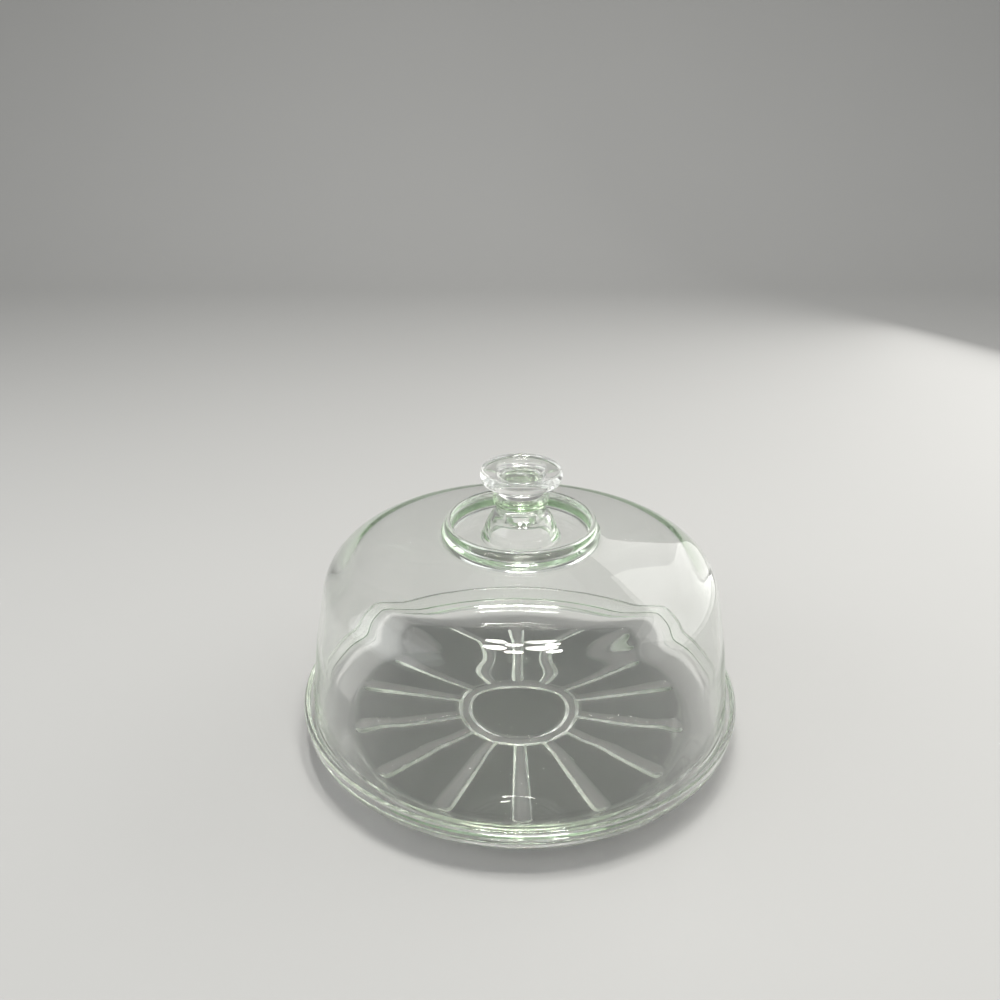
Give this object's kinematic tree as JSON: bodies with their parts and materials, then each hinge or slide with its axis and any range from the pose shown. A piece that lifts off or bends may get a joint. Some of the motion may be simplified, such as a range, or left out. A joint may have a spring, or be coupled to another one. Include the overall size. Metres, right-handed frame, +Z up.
{
  "type": "cake stand dome",
  "caption": "Round clear-glass cake plate on a low many-sided foot with radial ribs, covered by a lift-off glass dome with a raised ring, a hollow stem and a disc knob.",
  "frame": {"origin": "centre of the flat underside of the plate's foot, at table level", "axes": "+Z up along the axis of revolution; -Y is the viewing side, and one corner of the foot and one rib point to -Y"},
  "size_m": [0.33, 0.33, 0.2106],
  "materials": {
    "plate_glass": "fire-polished clear glass with a faint green edge tint",
    "dome_glass": "polished clear glass, green where it is seen edge-on",
    "knob_glass": "polished near-colourless solid glass"
  },
  "bodies": {
    "plate": {"cake_plate": "plate_glass"},
    "cover": {"dome": "dome_glass", "knob": "knob_glass"}
  },
  "joints": [
    {"name": "dome_lift", "type": "slide", "parent": "plate", "child": "cover", "axis": [0, 0, 1], "range_m": [0, 0.2]}
  ]
}
